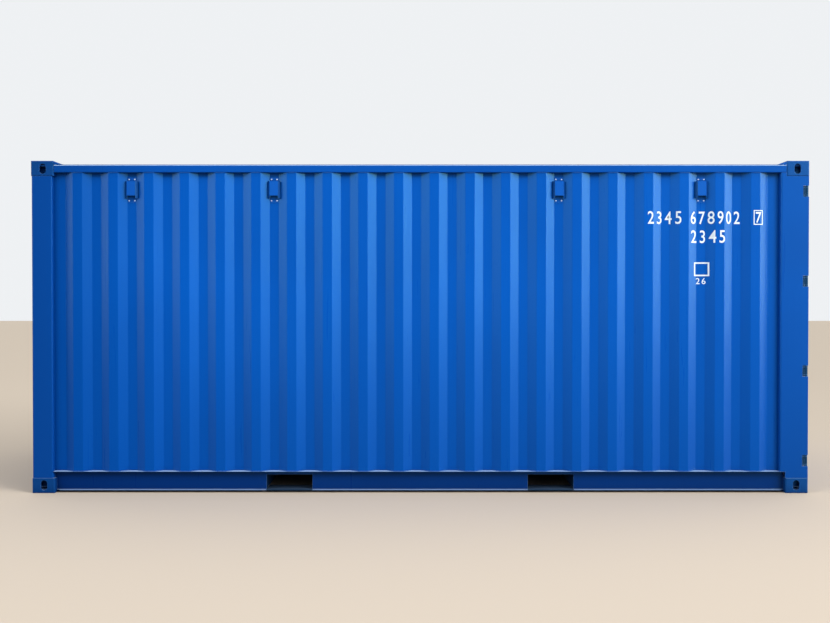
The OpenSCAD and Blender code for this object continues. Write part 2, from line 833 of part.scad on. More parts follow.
// One ventilator on the sheet's face, its hood towards +Y, its top at zero
module vent() {
    hood_z = -(vent_plate_h + vent_hood_h) / 2;
    block([-vent_plate_w / 2, 0, -vent_plate_h], [vent_plate_w / 2, vent_plate_t, 0]);
    difference() {
        translate([0, 0, hood_z]) linear_extrude(vent_hood_h) hood_outline(0);
        translate([0, 0, hood_z - slack]) linear_extrude(vent_hood_h - vent_wall + slack)
            hood_outline(vent_wall);
        block([-vent_face_w / 2, vent_shoulder_d, hood_z - slack],
              [vent_face_w / 2, vent_hood_d + slack, hood_z + vent_mouth_h]);
    }
}

module vents() {
    last = side_waves() / 2 - 1;
    color(paint) for (k = [-1, 1], n = [vent_outer_steps, vent_inner_steps])
        translate([side_middle() + k * (last - n) * side_pitch, y_left(wall_out + side_depth),
                   tube_z - vent_drop]) mirror([0, 1, 0]) vent();
}

// Keeper round a cam, open towards the door end; the plate under the cam is at z
// Half of a ring of bent rod that stands on its feet
module half_ring() {
    reach = ring_w / 2 - ring_bend_r;
    translate([ring_w / 2, 0, 0]) cylinder(h = ring_h - ring_bend_r, d = ring_rod);
    translate([reach, 0, ring_h - ring_bend_r]) rotate([90, 0, 0])
        rotate_extrude(angle = 90) translate([ring_bend_r, 0]) circle(d = ring_rod);
    translate([0, 0, ring_h]) rotate([0, 90, 0]) cylinder(h = reach, d = ring_rod);
}

module lashing_ring() {
    half_ring();
    mirror([1, 0, 0]) half_ring();
}

// Rings between the corrugations, on the bottom rail and under the top rail
module lashing_rings() {
    last = (side_waves() - 1) / 2;
    color(paint) for (k = [-1, 1], n = [0:ring_count - 1])
        translate([side_middle() + k * (last - ring_first_steps - n * ring_steps) * side_pitch,
                   y_left(ring_side), 0]) {
            translate([0, 0, rail_top]) lashing_ring();
            translate([0, 0, tube_z]) mirror([0, 0, 1]) lashing_ring();
        }
}

module keeper(side, z) {
    half = cam_reach + keeper_gap;
    ear_h = collar_h + keeper_t;
    for (k = [-1, 1])
        block([x_rear(door_inset), y_left(side) + k * (half + keeper_t / 2) - keeper_t / 2, z],
              [x_rear(door_inset - keeper_out), y_left(side) + k * (half + keeper_t / 2)
                  + keeper_t / 2, z + ear_h]);
    block([x_rear(door_inset), y_left(side) - half, z],
          [x_rear(door_inset - keeper_out), y_left(side) + half, z + keeper_t]);
}

module sill_keepers() {
    color(paint) for (m = [0, 1], s = rod_sides) mirror([0, m, 0])
        keeper(s, rod_z - keeper_gap - keeper_t);
}

module header_keepers() {
    color(paint) for (m = [0, 1], s = rod_sides) mirror([0, m, 0])
        translate([0, 0, rod_top]) mirror([0, 0, 1]) keeper(s, -keeper_gap - keeper_t);
}

// Lugs and pins of one rear post
module hinge_lugs() {
    x = x_rear(pin_inset);
    y = y_left(pin_inset);
    color(paint) for (z = hinge_heights()) {
        for (k = [-1, 1]) translate([0, 0, z + k * (blade_h / 2 + blade_play + lug_t / 2)]) {
            translate([x, y, 0]) cylinder(h = lug_t, r = knuckle_r, center = true);
            block([x_rear(door_inset), y - lug_arm, -lug_t / 2], [x, y + knuckle_r, lug_t / 2]);
        }
        translate([x, y, z]) cylinder(h = blade_h + 2 * (blade_play + lug_t + pin_out),
                                      r = pin_r, center = true);
    }
}

// Square-edged blade from the pin, over the post, to its pad on the leaf
module hinge_blade() {
    x = x_rear(pin_inset);
    y = y_left(pin_inset);
    bar_x = x_rear(door_inset - blade_gap);
    arm = blade_arm / 2;
    difference() {
        union() {
            translate([x, y, 0]) cylinder(h = blade_h, r = knuckle_r, center = true);
            block([bar_x, y - arm, -blade_h / 2], [x, y + arm, blade_h / 2]);
            block([bar_x, y - arm, -blade_h / 2],
                  [bar_x + blade_t, y_left(leaf_out + blade_gap + pad_l), blade_h / 2]);
            block([x_rear(door_inset), y_left(leaf_out + blade_gap), -blade_h / 2],
                  [bar_x + blade_t, y_left(leaf_out + blade_gap + pad_l), blade_h / 2]);
        }
        translate([x, y, 0]) cylinder(h = blade_h + 2 * slack, r = pin_r + pin_clearance,
                                      center = true);
    }
}

module hinge_blades() {
    color(paint) for (z = hinge_heights()) translate([0, 0, z]) hinge_blade();
}

// Upright tube of a leaf from a side distance inward
module stile(side) {
    translate([x_rear(door_inset + leaf_t), y_left(side), leaf_z]) linear_extrude(leaf_h)
        difference() {
            square([leaf_t, stile_w]);
            translate([stile_t, stile_t]) square([leaf_t - 2 * stile_t, stile_w - 2 * stile_t]);
        }
}

// Cross channel of a leaf with its web outward
module leaf_cross(z) {
    along_y(y_left(leaf_out + stile_w), y_left(leaf_in - stile_w)) pressed([
        [x_rear(door_inset + leaf_t), z],
        [x_rear(door_inset), z],
        [x_rear(door_inset), z + cross_h],
        [x_rear(door_inset + leaf_t), z + cross_h]
    ], cross_t, cross_t * 2);
}

module door_frame() {
    color(paint) {
        stile(leaf_out);
        stile(leaf_in - stile_w);
        leaf_cross(leaf_z);
        leaf_cross(leaf_z + leaf_h - cross_h);
    }
}

module door_panel() {
    span = leaf_w - 2 * stile_w;
    color(paint) translate([x_rear(door_inset + leaf_panel_inset), y_left((leaf_out + leaf_in) / 2),
                            leaf_z + cross_h])
        rotate(90) linear_extrude(leaf_h - 2 * cross_h) polygon(sheet_outline(
            wave_line(leaf_waves, span, side_pitch, side_crest, side_slope, side_depth),
            leaf_sheet_t));
}

// Ring round the leaf's edges, standing out by lip
module gasket_ring(x0, x1, lip, meeting_lip) {
    difference() {
        block([x0, y_left(leaf_out - lip), leaf_z - lip],
              [x1, y_left(leaf_in + meeting_lip), leaf_z + leaf_h + lip]);
        block([x0 - slack, y_left(leaf_out), leaf_z],
              [x1 + slack, y_left(leaf_in), leaf_z + leaf_h]);
    }
}

module door_gasket() {
    x0 = x_rear(door_inset + (leaf_t + gasket_w) / 2);
    x1 = x0 + gasket_w;
    color(rubber) {
        gasket_ring(x0, x1, gasket_lip / 2, gasket_meeting_lip / 2);
        for (x = [x0, x1 - gasket_lip_t])
            gasket_ring(x, x + gasket_lip_t, gasket_lip, gasket_meeting_lip);
    }
}

// Rod with a cam at each end; the cam's fingers lie across the rod
module lock_rod(side) {
    x = x_rear(rod_inset);
    y = y_left(side);
    difference() {
        union() {
            translate([x, y, rod_z]) cylinder(h = rod_top - rod_z, r = rod_r);
            for (z = [rod_z, rod_top - collar_h])
                translate([x, y, z]) cylinder(h = collar_h, r = collar_r);
            for (z = [rod_z + cam_inset, rod_top - cam_inset - cam_h])
                block([x - cam_t / 2, y - cam_reach, z],
                      [x + cam_t / 2, y + cam_reach, z + cam_h]);
        }
        translate([x, y, rod_z - slack])
            cylinder(h = rod_top - rod_z + 2 * slack, r = rod_r - rod_wall);
    }
}

module lock_rods() {
    color(steel) for (s = rod_sides) lock_rod(s);
}

// Height of each rod's handle, and which way along Y it points
function handle_height(i) = handle_z + i * handle_step;
function handle_dir(i) = i == 0 ? 1 : -1;
handle_x = rod_inset - rod_r - bracket_strap / 2;

module lock_handle(i) {
    x = x_rear(rod_inset);
    y = y_left(rod_sides[i]);
    hub_r = rod_r + bracket_clearance + bracket_strap;
    y1 = y + handle_dir(i) * handle_l;
    translate([0, 0, handle_height(i)]) difference() {
        union() {
            translate([x, y, 0]) cylinder(h = hub_h, r = hub_r, center = true);
            block([x_rear(handle_x + handle_t), min(y, y1), -handle_h / 2],
                  [x_rear(handle_x), max(y, y1), handle_h / 2]);
        }
        translate([x, y, 0]) cylinder(h = hub_h + 2 * slack, r = rod_r + bracket_clearance,
                                      center = true);
    }
}

module lock_handles() {
    color(steel) for (i = [0, 1]) lock_handle(i);
}

// Bearing bracket round a rod, its foot on a face at depth from the end
module rod_bracket(side, z, depth) {
    x = x_rear(rod_inset);
    y = y_left(side);
    ring_r = rod_r + bracket_clearance + bracket_strap;
    translate([0, 0, z]) difference() {
        union() {
            translate([x, y, 0]) cylinder(h = bracket_h, r = ring_r, center = true);
            block([x_rear(depth), y - ring_r, -bracket_h / 2], [x, y + ring_r, bracket_h / 2]);
            block([x_rear(depth), y - bracket_w / 2, -bracket_h / 2],
                  [x_rear(depth - bracket_foot_t), y + bracket_w / 2, bracket_h / 2]);
        }
        translate([x, y, 0]) cylinder(h = bracket_h + 2 * slack, r = rod_r + bracket_clearance,
                                      center = true);
    }
}

// Catch that holds a handle, standing on the panel's middle crest, with an ear on each side
module handle_catch(i) {
    y = y_left((leaf_out + leaf_in) / 2);
    z = handle_height(i);
    depth = door_inset + leaf_panel_inset;
    half = handle_h / 2 + catch_gap;
    block([x_rear(depth), y - catch_w / 2, z - half - catch_ear],
          [x_rear(handle_x + handle_t), y + catch_w / 2, z + half + catch_ear]);
    for (k = [-1, 1]) translate([0, 0, z + k * (half + catch_ear / 2)])
        block([x_rear(handle_x + handle_t), y - catch_w / 2, -catch_ear / 2],
              [x_rear(handle_x), y + catch_w / 2, catch_ear / 2]);
}

module rod_brackets() {
    panel = door_inset + leaf_panel_inset;
    color(steel) for (i = [0, 1]) {
        for (z = [leaf_z + cross_h / 2, leaf_z + leaf_h - cross_h / 2])
            rod_bracket(rod_sides[i], z, door_inset);
        for (k = [-1, 1])
            rod_bracket(rod_sides[i], leaf_z + leaf_h / 2 + k * bracket_spread, panel);
        handle_catch(i);
    }
}

front_bottom_castings();
front_top_castings();
rear_bottom_castings();
rear_top_castings();
front_post();  // front_post_left
on_right() front_post();  // front_post_right
rear_post();  // rear_post_left
on_right() rear_post();  // rear_post_right
bottom_rail();  // bottom_rail_left
on_right() bottom_rail();  // bottom_rail_right
top_rail();  // top_rail_left
on_right() top_rail();  // top_rail_right
front_sill();
front_header();
door_sill();
door_header();
side_wall();  // side_wall_left
on_right() side_wall();  // side_wall_right
front_wall();
roof();
floor_boards();
cross_members();
fork_pocket_plates();
vents();  // vents_left
on_right() vents();  // vents_right
lashing_rings();  // lashing_rings_left
on_right() lashing_rings();  // lashing_rings_right
sill_keepers();
header_keepers();
hinge_lugs();  // hinge_lugs_left
on_right() hinge_lugs();  // hinge_lugs_right
door_frame();  // door_frame_left
on_right() door_frame();  // door_frame_right
door_panel();  // door_panel_left
on_right() door_panel();  // door_panel_right
door_gasket();  // door_gasket_left
on_right() door_gasket();  // door_gasket_right
hinge_blades();  // hinge_blades_left
on_right() hinge_blades();  // hinge_blades_right
lock_rods();  // lock_rods_left
on_right() lock_rods();  // lock_rods_right
lock_handles();  // lock_handles_left
on_right() lock_handles();  // lock_handles_right
rod_brackets();  // rod_brackets_left
on_right() rod_brackets();  // rod_brackets_right
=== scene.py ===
"""Looks of a twenty-foot shipping container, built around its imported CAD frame.

Metres, in the frame of the CAD: +X towards the doors, -Y the photographed side, +Z up.
"""

import json
import math

import bmesh
import bpy
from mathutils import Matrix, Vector


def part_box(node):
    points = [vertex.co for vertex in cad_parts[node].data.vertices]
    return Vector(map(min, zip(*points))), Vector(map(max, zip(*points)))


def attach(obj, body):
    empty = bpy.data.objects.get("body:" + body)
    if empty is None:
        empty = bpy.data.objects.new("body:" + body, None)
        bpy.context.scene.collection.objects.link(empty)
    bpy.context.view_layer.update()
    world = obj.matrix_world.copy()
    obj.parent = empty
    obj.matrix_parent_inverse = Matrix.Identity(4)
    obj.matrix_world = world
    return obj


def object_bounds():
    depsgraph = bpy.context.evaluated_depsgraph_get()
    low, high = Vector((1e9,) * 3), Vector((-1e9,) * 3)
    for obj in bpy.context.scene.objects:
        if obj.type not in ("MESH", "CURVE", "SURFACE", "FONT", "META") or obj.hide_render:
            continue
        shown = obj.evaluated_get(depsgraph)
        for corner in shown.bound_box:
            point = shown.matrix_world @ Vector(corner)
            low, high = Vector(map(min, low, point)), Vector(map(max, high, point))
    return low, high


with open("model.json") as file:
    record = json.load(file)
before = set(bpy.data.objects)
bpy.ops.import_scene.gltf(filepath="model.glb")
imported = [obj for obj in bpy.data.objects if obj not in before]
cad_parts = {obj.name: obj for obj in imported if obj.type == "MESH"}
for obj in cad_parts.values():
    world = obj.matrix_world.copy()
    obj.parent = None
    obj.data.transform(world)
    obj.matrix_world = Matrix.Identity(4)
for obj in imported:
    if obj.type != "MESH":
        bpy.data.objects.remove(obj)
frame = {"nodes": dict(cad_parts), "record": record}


def plain(bounds):
    """Two corners as plain lists of numbers."""
    return [[float(value) for value in corner] for corner in bounds]


CAD_BOUNDS = plain(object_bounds())
NODES = frame["nodes"]
CONTAINER = "container"
MM = 0.001
# Directions of the two sides along Y
LEFT = -1
RIGHT = 1
SIDES = (("left", LEFT), ("right", RIGHT))

# Corrugation of the side walls, as in the part's source
PITCH = 278 * MM
CREST = 72 * MM
SLOPE = 68 * MM
DEPTH = 36 * MM
RECESS_HALF = PITCH / 2 - CREST / 2 - SLOPE
WALL_LOW, WALL_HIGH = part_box("side_wall_left")
WALL_MIDDLE = (WALL_LOW.x + WALL_HIGH.x) / 2
# Corrugation of the front wall
FRONT_PITCH = 250 * MM
FRONT_CREST = 110 * MM
FRONT_SLOPE = 18 * MM
FRONT_DEPTH = 45.6 * MM
FRONT_RECESS = FRONT_PITCH - FRONT_CREST - 2 * FRONT_SLOPE

# Paint and finishes, in linear light
BLUE = (0.0, 0.086, 0.458, 1)
BLUE_LIGHT = (0.001, 0.1, 0.508, 1)
BLUE_DARK = (0.0, 0.067, 0.373, 1)
FRAME_BLUE = (0.002, 0.074, 0.388, 1)
FRAME_BLUE_DARK = (0.001, 0.056, 0.318, 1)
CAST_BLUE = (0.004, 0.064, 0.278, 1)
# Vent hoods: a lighter paint, a painted highlight of their faces
VENT_BLUE_LIT = (0.006, 0.096, 0.468, 1)
# Bottom rails: a darker paint, painted shade of their webs under the ledge
RAIL_BLUE_SHADED = (0.0, 0.028, 0.198, 1)
RAIL_BLUE_SHADED_DARK = (0.0, 0.02, 0.16, 1)
UNDERFRAME = (0.004, 0.02, 0.07, 1)
# Hinge fittings: a dark paint, also painted shade of the deep hinge notches
FITTING_SHADED = (0.004, 0.03, 0.1, 1)
FITTING_WORN = (0.012, 0.05, 0.14, 1)
# Pale dust on faces that look up, also a painted highlight on ledges and top edges
DUST_AND_HIGHLIGHT = (0.5, 0.68, 0.9, 1)
SCUFF = (0.36, 0.42, 0.48, 1)
# Lighter paint along edges: wear and a painted highlight
WORN_EDGE_AND_HIGHLIGHT = (0.14, 0.3, 0.62, 1)
ZINC = (0.42, 0.44, 0.46, 1)
RIVET_GREY = (0.42, 0.52, 0.66, 1)
GASKET = (0.012, 0.012, 0.013, 1)
WHITE = (0.76, 0.85, 0.9, 1)
PLY_DARK = (0.13, 0.06, 0.028, 1)
PLY_LIGHT = (0.3, 0.155, 0.075, 1)
FLOOR = (0.535, 0.452, 0.36, 1)
FLOOR_BOUNCE = (0.28, 0.27, 0.25, 1)

# Tint of the paint's gloss, and its level along X: from, to, and the level at each
GLOSS_TINT = (0.3, 0.88, 0.55, 1)
SHEEN = (-2.9, -1.0, 0.125, 0.25)
PEEL_DEPTH = 0.4 * MM
# Painted shade: the paint darkens along Z and X, from, to, and the share of the darker shade at
# each
LOW_PAINTED_SHADE_RAMP = (0.1, 1.6, 0.8, 0)
LOW_PAINTED_SHADE_FACTOR = 0.7
FRONT_PAINTED_SHADE_RAMP = (-3.0, -1.9, 0.78, 0)
FRONT_PAINTED_SHADE_FACTOR = 0.62
# Painted shade darkens within this reach of a corner, and a painted shadow this far below an
# overhang
NOOK_REACH = 90 * MM
PAINTED_SHADE_FACTOR = 0.35
OVERHANG_REACH = 55 * MM
OVERHANG_FULL = 8 * MM
# Scuffs fade out between these heights over the ground
SCUFF_LOW = 2 * MM
SCUFF_HIGH = 34 * MM
# Less dust and painted highlight near the ground: from, to, and the share of it at each
LOW_DUST_AND_HIGHLIGHT = (0.05, 0.15, 0.5, 1)
# Share of the dust and painted highlight where it lies thinnest
THIN_DUST_AND_HIGHLIGHT = 0.8
BEVEL_SAMPLES = 4
NOOK_SAMPLES = 6


# Materials

def shade(colour, factor):
    """A colour in less light."""
    return tuple(c * factor for c in colour[:3]) + (1,)


class Nodes:
    """Short forms for adding nodes to one tree."""

    def __init__(self, tree):
        self.tree = tree

    def put(self, value, socket):
        """Gives a socket a number, a colour or another node's output."""
        if isinstance(value, bpy.types.NodeSocket):
            self.tree.links.new(value, socket)
        else:
            socket.default_value = value

    def fill(self, node, inputs):
        """Fills a node's inputs by name, with _ for each space in a name."""
        for name, value in inputs.items():
            self.put(value, node.inputs[name.replace("_", " ")])

    def node(self, kind, **inputs):
        made = self.tree.nodes.new(kind)
        self.fill(made, inputs)
        return made

    def ramp(self, value, low, high, out_low=0.0, out_high=1.0):
        """Value from low to high becomes out_low to out_high, held at both ends."""
        made = self.node("ShaderNodeMapRange", Value=value, From_Min=low, From_Max=high,
                         To_Min=out_low, To_Max=out_high)
        made.clamp = True
        return made.outputs["Result"]

    def mix(self, factor, a, b):
        """Colour a where the factor is 0 and b where it is 1."""
        made = self.tree.nodes.new("ShaderNodeMix")
        made.data_type = "RGBA"
        for index, value in ((0, factor), (6, a), (7, b)):
            self.put(value, made.inputs[index])
        return made.outputs[2]

    def math(self, operation, a, b=0):
        made = self.tree.nodes.new("ShaderNodeMath")
        made.operation = operation
        for index, value in enumerate((a, b)):
            self.put(value, made.inputs[index])
        return made.outputs[0]

    def shown(self):
        """1 for rays of the camera, in gloss and through glass, 0 for rays of light."""
        path = self.node("ShaderNodeLightPath").outputs
        mirrored = self.math("MAXIMUM", path["Is Glossy Ray"], path["Is Transmission Ray"])
        return self.math("MAXIMUM", path["Is Camera Ray"], mirrored)


class Graph(Nodes):
    """Nodes of one new material around its Principled shader."""

    def __init__(self, name):
        self.material = bpy.data.materials.new(name)
        self.material.use_nodes = True
        super().__init__(self.material.node_tree)
        self.shader = self.tree.nodes["Principled BSDF"]
        self.coords = self.node("ShaderNodeTexCoord").outputs["Object"]

    def finish(self, **inputs):
        """Fills the shader's inputs and gives the material."""
        self.fill(self.shader, inputs)
        return self.material

    def stretched(self, scale):
        """Object coordinates, scaled along each axis."""
        return self.node("ShaderNodeMapping", Vector=self.coords, Scale=scale).outputs["Vector"]

    def noise(self, stretch, scale, detail=3, roughness=0.5):
        made = self.node("ShaderNodeTexNoise", Vector=self.stretched(stretch), Scale=scale,
                         Detail=detail, Roughness=roughness)
        return made.outputs["Fac"]

    def place(self, axis):
        """Where the surface is along X, Y or Z."""
        return self.node("ShaderNodeSeparateXYZ", Vector=self.coords).outputs[axis]

    def facing(self, axis):
        """How far a face looks along X, Y or Z, from -1 to 1."""
        normal = self.node("ShaderNodeNewGeometry").outputs["Normal"]
        return self.node("ShaderNodeSeparateXYZ", Vector=normal).outputs[axis]

    def nook(self):
        """How open the surface is, 0 in corners and under ledges and 1 in the open."""
        made = self.node("ShaderNodeAmbientOcclusion", Distance=NOOK_REACH)
        made.samples = NOOK_SAMPLES
        return made.outputs["AO"]

    def rounded(self, radius):
        """The surface's normal, turned at the edges as if they were rounded."""
        made = self.node("ShaderNodeBevel", Radius=radius)
        made.samples = BEVEL_SAMPLES
        return made.outputs["Normal"]

    def bumped(self, height, strength, distance, **inputs):
        made = self.node("ShaderNodeBump", Height=height, Strength=strength, Distance=distance,
                         **inputs)
        return made.outputs["Normal"]

    def edges(self, radius, amount):
        """amount along outer edges, fading to 0 on the flats beside them."""
        geometry = self.node("ShaderNodeNewGeometry").outputs
        likeness = self.tree.nodes.new("ShaderNodeVectorMath")
        likeness.operation = "DOT_PRODUCT"
        self.put(self.rounded(radius), likeness.inputs[0])
        self.put(geometry["Normal"], likeness.inputs[1])
        bent = self.ramp(likeness.outputs["Value"], 0.8, 0.97, amount, 0)
        return self.math("MULTIPLY", bent, self.ramp(geometry["Pointiness"], 0.45, 0.5))


def painted(name, base=BLUE, dark=BLUE_DARK, light=BLUE_LIGHT, edge=1.6 * MM, dust_and_highlight=0.3,
            peel=0.05, roughness=0.28, corner_shade=0.35, scuff=0.0, wear_and_highlight=0.0,
            wear_and_highlight_reach=3.5 * MM, flank_shade=0.0, shadow_under=None, looks_up_at=(0.6, 0.95)):
    """Sprayed semi-gloss paint: slight tone changes, painted shade in corners, dust and painted
    highlight on ledges.

    edge rounds the edges and peel roughens the faces. The other shares are of pale dust with a
    painted highlight on faces that look up, of painted shade in corners, of scuffs near the ground,
    and of lighter edges, wear with a painted highlight, within their reach of the edges. The flank
    share is painted shade on faces that don't look squarely to either side, and below the height of
    an overhang lies a painted shadow. Dust and painted highlight start to lie and lie in full where
    faces look up as far as the last pair says.
    """
    g = Graph(name)
    broad = g.noise((0.7, 0.7, 0.5), scale=1.3, detail=4)
    streaks = g.noise((9, 9, 0.5), scale=3.0, detail=4, roughness=0.6)
    colour = g.mix(g.ramp(broad, 0.35, 0.65), dark, light)
    colour = g.mix(g.ramp(broad, 0.2, 0.8, 0.55, 0.75), colour, base)
    colour = g.mix(g.ramp(streaks, 0.5, 0.8, 0, 0.12), colour, dark)
    # Painted shade, darker towards the bottom and towards the front end
    colour = g.mix(g.ramp(g.place("Z"), *LOW_PAINTED_SHADE_RAMP), colour, shade(base, LOW_PAINTED_SHADE_FACTOR))
    colour = g.mix(g.ramp(g.place("X"), *FRONT_PAINTED_SHADE_RAMP), colour, shade(base, FRONT_PAINTED_SHADE_FACTOR))
    # Painted shade in corners, recesses and holes, where little light reaches
    painted_shade_colour = shade(dark, PAINTED_SHADE_FACTOR)
    colour = g.mix(g.ramp(g.nook(), 0.3, 0.9, corner_shade, 0), colour, painted_shade_colour)
    # Painted shadow on the wall below an overhang, such as the top rail
    if shadow_under:
        painted_shadow = g.ramp(g.place("Z"), shadow_under - OVERHANG_REACH, shadow_under - OVERHANG_FULL, 0, 0.85)
        painted_shadow = g.math("MULTIPLY", painted_shadow, g.ramp(g.nook(), 0.5, 0.95, 1, 0.2))
        colour = g.mix(painted_shadow, colour, painted_shade_colour)
    # Painted shade on faces that don't look squarely to either side, such as the sides of the vent
    # hoods
    if flank_shade:
        sideways = g.math("ABSOLUTE", g.facing("Y"))
        colour = g.mix(g.ramp(sideways, 0.75, 0.98, flank_shade, 0), colour, painted_shade_colour)
    # Pale dust on faces that look up, partly a painted highlight of ledges and top edges
    patches = g.noise((1, 1, 1), scale=6, detail=5, roughness=0.65)
    ledge_dust_and_highlight = g.math("MULTIPLY", g.ramp(g.facing("Z"), *looks_up_at),
                   g.ramp(patches, 0.3, 0.75, dust_and_highlight * THIN_DUST_AND_HIGHLIGHT, dust_and_highlight))
    ledge_dust_and_highlight = g.math("MULTIPLY", ledge_dust_and_highlight, g.ramp(g.place("Z"), *LOW_DUST_AND_HIGHLIGHT))
    colour = g.mix(ledge_dust_and_highlight, colour, DUST_AND_HIGHLIGHT)
    if scuff:
        marks = g.noise((1, 1, 3), scale=14, detail=5, roughness=0.7)
        foot = g.math("MULTIPLY", g.ramp(g.place("Z"), SCUFF_LOW, SCUFF_HIGH, scuff, 0),
                      g.ramp(marks, 0.35, 0.6, 0.25, 1))
        colour = g.mix(foot, colour, SCUFF)
    # Lighter edges: wear, and a painted highlight along them
    if wear_and_highlight:
        colour = g.mix(g.edges(wear_and_highlight_reach, wear_and_highlight), colour, WORN_EDGE_AND_HIGHLIGHT)
    skin = g.bumped(g.noise((1, 1, 1), scale=160, detail=2), peel, PEEL_DEPTH,
                    Normal=g.rounded(edge))
    return g.finish(Base_Color=colour, Normal=skin, Specular_Tint=GLOSS_TINT, IOR=1.5,
                    Roughness=g.ramp(streaks, 0.3, 0.8, roughness - 0.01, roughness + 0.05),
                    Specular_IOR_Level=g.ramp(g.place("X"), *SHEEN))


def zinc(name):
    """Hot-dipped steel with a faint spangle."""
    g = Graph(name)
    cells = g.node("ShaderNodeTexVoronoi", Vector=g.stretched((1, 1, 0.6)), Scale=90)
    spangle = g.ramp(cells.outputs["Distance"], 0, 0.8)
    blotches = g.noise((1, 1, 1), scale=40)
    return g.finish(Base_Color=g.mix(spangle, ZINC, shade(ZINC, 0.72)), Metallic=0.85,
                    Roughness=g.ramp(blotches, 0.3, 0.7, 0.38, 0.56),
                    Normal=g.rounded(1.2 * MM))


def rubber(name):
    """Dull black rubber with a fine grain."""
    g = Graph(name)
    grain = g.bumped(g.noise((1, 1, 1), scale=220, detail=2), 0.1, 0.3 * MM)
    return g.finish(Base_Color=GASKET, Roughness=0.62, Normal=grain)


def plywood(name):
    """Sealed hardwood plywood: long grain along the container, worn paler tracks."""
    g = Graph(name)
    grain = g.noise((1.2, 38, 10), scale=2.6, detail=6, roughness=0.62)
    flecks = g.noise((5, 160, 20), scale=2.0)
    tracks = g.noise((0.5, 2.4, 1), scale=1.6)
    colour = g.mix(g.ramp(grain, 0.34, 0.66), PLY_DARK, PLY_LIGHT)
    colour = g.mix(g.ramp(flecks, 0.5, 0.75, 0, 0.5), colour, PLY_DARK)
    colour = g.mix(g.ramp(tracks, 0.4, 0.7, 0, 0.35), colour, PLY_LIGHT)
    return g.finish(Base_Color=colour, Roughness=g.ramp(grain, 0.3, 0.7, 0.42, 0.6),
                    Normal=g.bumped(grain, 0.25, 0.4 * MM))


def plain_finish(name, colour, roughness, metallic=0.0):
    return Graph(name).finish(Base_Color=colour, Roughness=roughness, Metallic=metallic)


# Walls: painted shade in corners and a painted shadow under the top rail
PAINT = painted("wall_paint", edge=1 * MM, corner_shade=0.8, dust_and_highlight=0.6, shadow_under=WALL_HIGH.z)
FRAME_PAINT = painted("frame_paint", FRAME_BLUE, FRAME_BLUE_DARK, BLUE, edge=2 * MM, wear_and_highlight=0.6,
                      dust_and_highlight=0.4)
DOOR_PAINT = painted("door_paint", edge=2 * MM, wear_and_highlight=0.3)
# Bottom rails: darker paint as painted shade, dust and a painted highlight on the ledges
RAIL_SHADED_PAINT = painted("bottom_rail_shaded_paint", RAIL_BLUE_SHADED, RAIL_BLUE_SHADED_DARK, BLUE_DARK, edge=2 * MM,
                     dust_and_highlight=1.0, corner_shade=0.8, scuff=0.25, wear_and_highlight=0.5, wear_and_highlight_reach=6 * MM)
# Top rails: dust and a painted highlight along the rounded top edge
TOP_RAIL_PAINT = painted("top_rail_paint", FRAME_BLUE, FRAME_BLUE_DARK, BLUE, edge=2 * MM,
                         dust_and_highlight=0.9, looks_up_at=(0.05, 0.35), wear_and_highlight=0.5)
# Castings: strong painted shade inside their holes
CAST_PAINT = painted("casting_paint", CAST_BLUE, FRAME_BLUE_DARK, CAST_BLUE, edge=2 * MM,
                     peel=0.2, roughness=0.42, wear_and_highlight=0.5, corner_shade=1.0)
# Vent hoods: painted shade on their sides and in their nooks
VENT_PAINT = painted("vent_paint", VENT_BLUE_LIT, BLUE, VENT_BLUE_LIT, edge=1.5 * MM, corner_shade=1.0,
                     dust_and_highlight=0.8, flank_shade=0.75)
ROOF_PAINT = painted("roof_paint", BLUE_DARK, BLUE_DARK, BLUE, edge=2 * MM, dust_and_highlight=0.18,
                     roughness=0.45)
UNDER_PAINT = painted("underframe_paint", UNDERFRAME, UNDERFRAME, UNDERFRAME, dust_and_highlight=0.12,
                      roughness=0.6)
# Dark fitting paint, partly painted shade of the hinge notches
FITTING_PAINT = painted("fitting_paint", FITTING_SHADED, FITTING_SHADED, FITTING_WORN, dust_and_highlight=0.1,
                        roughness=0.45, wear_and_highlight=0.8, wear_and_highlight_reach=5 * MM)
ZINC_STEEL = zinc("zinc_steel")
RUBBER = rubber("rubber")
PLYWOOD = plywood("plywood")
MARKING = plain_finish("white_marking", WHITE, 0.5)
RIVET = plain_finish("rivet_steel", RIVET_GREY, 0.4, 0.3)

SLOT_MATERIALS = {
    "casting_paint": CAST_PAINT,
    "frame_paint": FRAME_PAINT,
    "wall_paint": PAINT,
    "roof_paint": ROOF_PAINT,
    "underframe_paint": UNDER_PAINT,
    "vent_paint": VENT_PAINT,
    "fitting_paint": FITTING_PAINT,
    "door_paint": DOOR_PAINT,
    "zinc": ZINC_STEEL,
    "gasket": RUBBER,
    "plywood": PLYWOOD,
}
# Nodes whose names start so have a paint of their own: the bottom rails a darker one, painted
# shade of their webs, and the top rails one with a painted highlight along the top edge
RAIL_MATERIALS = {"bottom_rail": RAIL_SHADED_PAINT, "top_rail": TOP_RAIL_PAINT}


def dress_nodes():
    """Gives every CAD node the finish of its material slot, and the rails their own."""
    slots = {s["node"]: s["material_slot"] for s in frame["record"]["subparts"]}
    for name, obj in NODES.items():
        material = SLOT_MATERIALS[slots[name]]
        for start, paint in RAIL_MATERIALS.items():
            if name.startswith(start):
                material = paint
        obj.data.materials.clear()
        obj.data.materials.append(material)


# Small pieces

def finish_piece(name, data, material, body=CONTAINER):
    """A new piece with one material, which moves with a body."""
    obj = bpy.data.objects.new(name, data)
    bpy.context.scene.collection.objects.link(obj)
    obj.data.materials.append(material)
    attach(obj, body)


